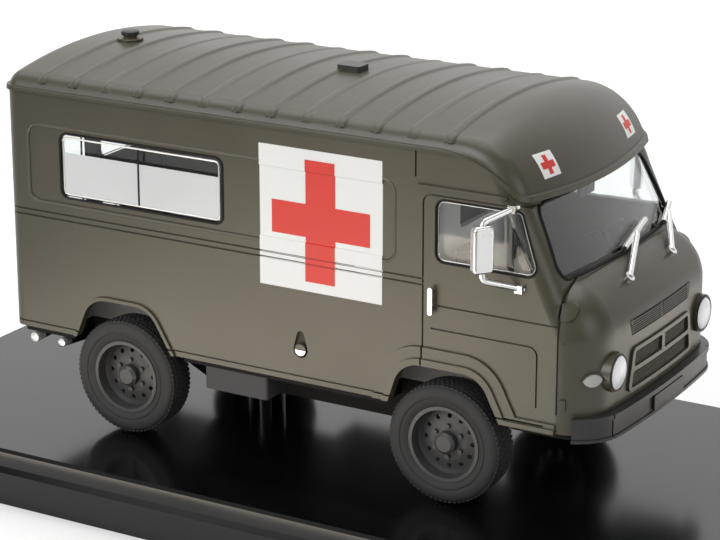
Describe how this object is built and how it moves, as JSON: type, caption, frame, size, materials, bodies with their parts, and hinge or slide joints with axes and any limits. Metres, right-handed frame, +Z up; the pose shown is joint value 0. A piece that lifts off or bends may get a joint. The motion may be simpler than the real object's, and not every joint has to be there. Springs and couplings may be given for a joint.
{
  "type": "scale model of a military ambulance truck",
  "caption": "Small display model of a forward-control military ambulance truck with a ribbed van body, screwed to a black plinth; both axles turn freely.",
  "frame": {"origin": "middle of the plinth's underside", "axes": "+X forward along the truck, +Y to the truck's left, +Z up"},
  "size_m": [0.168, 0.08, 0.0745],
  "materials": {
    "bright_metal": "bright silver plating",
    "cabin_dark": "plain dark moulding",
    "cabin_grey": "plain grey moulding",
    "chassis_black": "satin black moulded plastic",
    "clear_glazing": "clear moulded glazing",
    "lamp_clear": "clear lens over a bright back",
    "lamp_red": "clear red lens",
    "olive_paint": "matt olive drab paint on a metal casting",
    "plinth_gloss": "gloss black moulded plastic",
    "rim_black": "satin black",
    "steel": "plain bright steel",
    "trim_black": "satin black",
    "tyre_rubber": "matt soft black"
  },
  "bodies": {
    "truck_on_plinth": {"body_shell": "olive_paint", "bulkhead": "cabin_grey", "cab_glass_left": "clear_glazing", "cab_glass_right": "clear_glazing", "cab_mirror": "cabin_dark", "cab_seats": "cabin_dark", "chassis_base": "chassis_black", "dashboard": "cabin_dark", "door_handles": "bright_metal", "drive_line": "chassis_black", "exhaust": "chassis_black", "front_axle_casing": "chassis_black", "front_bumper": "trim_black", "front_plate": "trim_black", "fuel_cap": "bright_metal", "indicator_lenses": "lamp_clear", "indicator_rims": "trim_black", "interior_tub": "cabin_grey", "lamp_lenses": "lamp_clear", "lamp_rims": "trim_black", "leaf_springs": "chassis_black", "litters": "cabin_grey", "load_glass_left": "clear_glazing", "load_glass_right": "clear_glazing", "mirror_left": "bright_metal", "mirror_right": "bright_metal", "plinth": "plinth_gloss", "plinth_screws": "steel", "radiator_panel": "olive_paint", "rear_axle_casing": "chassis_black", "rear_glass": "clear_glazing", "rear_handle": "bright_metal", "rear_sill": "olive_paint", "roof_cowl": "olive_paint", "roof_shell": "olive_paint", "roof_vent": "olive_paint", "sill_boxes": "chassis_black", "steering_wheel": "cabin_dark", "tail_crossbar": "chassis_black", "tail_lamps": "lamp_red", "upper_grille": "trim_black", "windscreen_glass": "clear_glazing", "wiper_left": "bright_metal", "wiper_right": "bright_metal"},
    "front_wheelset": {"front_axle_pin": "steel", "front_rim_left": "rim_black", "front_rim_right": "rim_black", "front_tyre_left": "tyre_rubber", "front_tyre_right": "tyre_rubber"},
    "rear_wheelset": {"rear_axle_pin": "steel", "rear_rim_left": "rim_black", "rear_rim_right": "rim_black", "rear_tyre_left": "tyre_rubber", "rear_tyre_right": "tyre_rubber"}
  },
  "joints": [
    {"name": "front_axle_spin", "type": "hinge", "parent": "truck_on_plinth", "child": "front_wheelset", "pos_m": [0.0277, 0, 0.0202], "axis": [0, 1, 0], "continuous": true},
    {"name": "rear_axle_spin", "type": "hinge", "parent": "truck_on_plinth", "child": "rear_wheelset", "pos_m": [-0.0337, 0, 0.0202], "axis": [0, 1, 0], "continuous": true}
  ]
}
